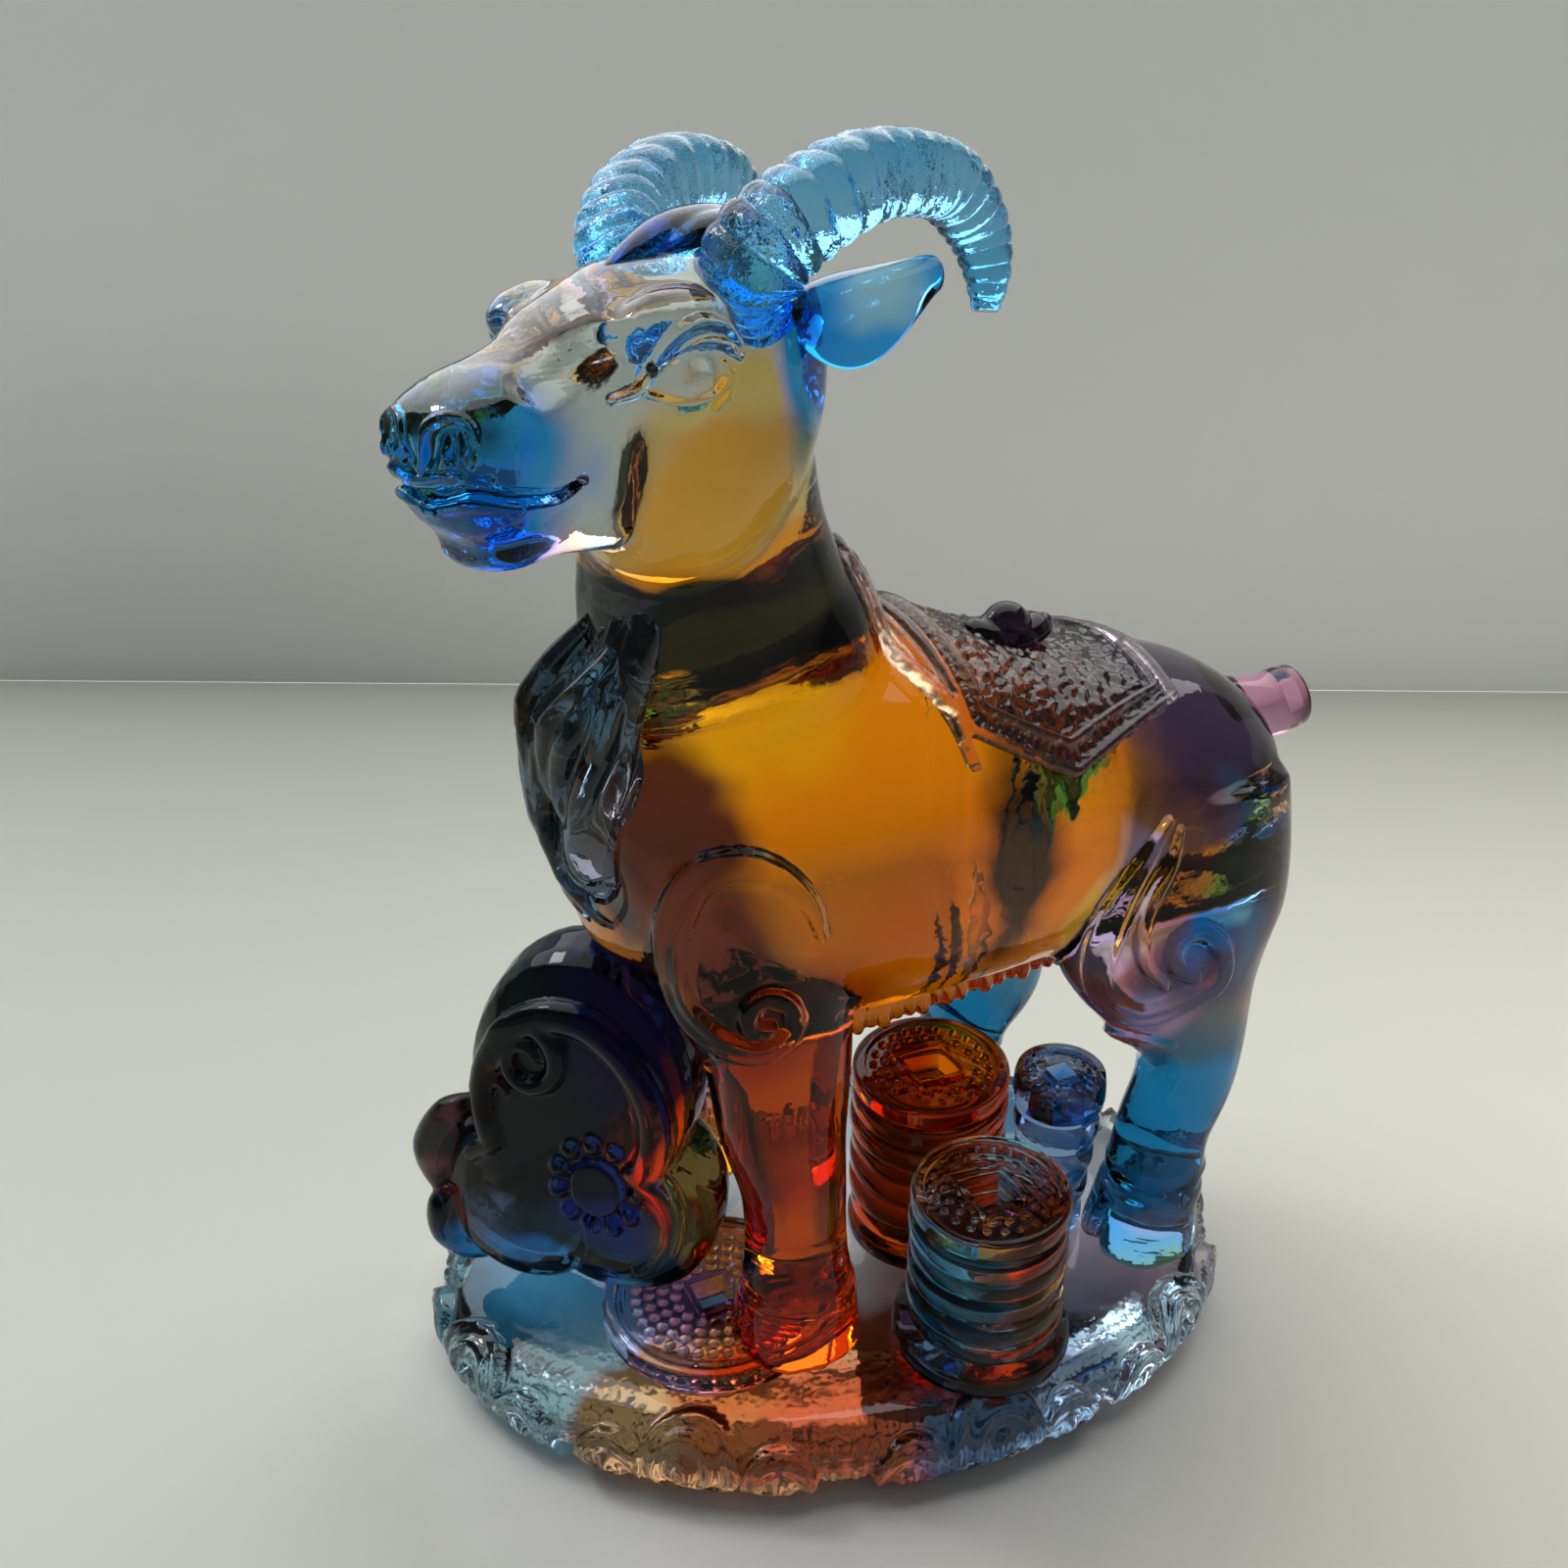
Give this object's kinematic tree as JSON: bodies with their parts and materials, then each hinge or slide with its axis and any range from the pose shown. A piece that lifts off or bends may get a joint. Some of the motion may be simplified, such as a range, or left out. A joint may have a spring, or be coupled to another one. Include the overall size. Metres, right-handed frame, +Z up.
{
  "type": "glass animal figurine",
  "caption": "Cast coloured-glass goat standing on a cloud-edged base beside stacked cash coins and a cloud scroll, head turned to one side; stands free on its flat foot.",
  "frame": {"origin": "middle of the bounding box at the bottom, on the flat foot that rests on the table", "axes": "+Z up; the goat faces -X, its tail points to +X, and its left side, towards which the head turns, is -Y"},
  "size_m": [0.1324, 0.0868, 0.1684],
  "materials": {
    "base_glass": "polished cast glass, pale blue to clear",
    "rim_blue_glass": "polished cast glass, mid blue",
    "rim_orange_glass": "polished cast glass, orange red",
    "rim_navy_glass": "polished cast glass, dark blue",
    "amber_glass": "polished cast glass, amber",
    "red_glass": "polished cast glass, red orange",
    "teal_glass": "polished cast glass, dark teal",
    "straw_glass": "polished cast glass, pale straw to light blue",
    "sky_glass": "polished cast glass, bright light blue",
    "purple_glass": "polished cast glass, dark purple",
    "navy_glass": "polished cast glass, navy to dark green",
    "pink_glass": "polished cast glass, plum pink",
    "clear_glass": "polished cast glass, clear with a lilac cast"
  },
  "bodies": {
    "root": {"base_plinth": "base_glass", "belly_fringe": "amber_glass", "ear_left": "sky_glass", "ear_right": "sky_glass", "eye_left": "straw_glass", "eye_right": "straw_glass", "foreleg_left": "red_glass", "foreleg_right": "purple_glass", "forelock": "sky_glass", "front_stack_coin_1": "rim_blue_glass", "front_stack_coin_2": "rim_blue_glass", "front_stack_coin_3": "rim_blue_glass", "front_stack_coin_4": "rim_blue_glass", "front_stack_coin_5": "rim_blue_glass", "front_stack_coin_6": "rim_blue_glass", "front_stack_coin_7": "rim_blue_glass", "haunch_scroll_left": "purple_glass", "haunch_scroll_right": "purple_glass", "head": "straw_glass", "hindleg_left": "purple_glass", "hindleg_right": "purple_glass", "hoof_fore_left": "red_glass", "hoof_fore_right": "purple_glass", "hoof_hind_left": "sky_glass", "hoof_hind_right": "sky_glass", "horn_left": "sky_glass", "horn_right": "sky_glass", "mane_left": "teal_glass", "mane_middle": "teal_glass", "mane_right": "teal_glass", "neck": "teal_glass", "rear_coin_column": "clear_glass", "rim_cloud_1": "clear_glass", "rim_cloud_2": "clear_glass", "rim_cloud_3": "rim_blue_glass", "rim_cloud_4": "rim_blue_glass", "rim_cloud_5": "rim_blue_glass", "rim_cloud_6": "rim_orange_glass", "rim_cloud_7": "rim_navy_glass", "rim_cloud_8": "clear_glass", "ruyi_border": "navy_glass", "ruyi_flower": "navy_glass", "ruyi_head": "navy_glass", "saddle_blanket": "purple_glass", "saddle_border": "purple_glass", "saddle_front_trim": "purple_glass", "saddle_ingot": "purple_glass", "shoulder_scroll_left": "red_glass", "shoulder_scroll_right": "red_glass", "step_coin": "red_glass", "tail": "pink_glass", "tall_stack_coin_1": "amber_glass", "tall_stack_coin_2": "amber_glass", "tall_stack_coin_3": "amber_glass", "tall_stack_coin_4": "amber_glass", "tall_stack_coin_5": "amber_glass", "tall_stack_coin_6": "amber_glass", "tall_stack_coin_7": "amber_glass", "tall_stack_coin_8": "amber_glass", "torso": "amber_glass"}
  },
  "joints": []
}
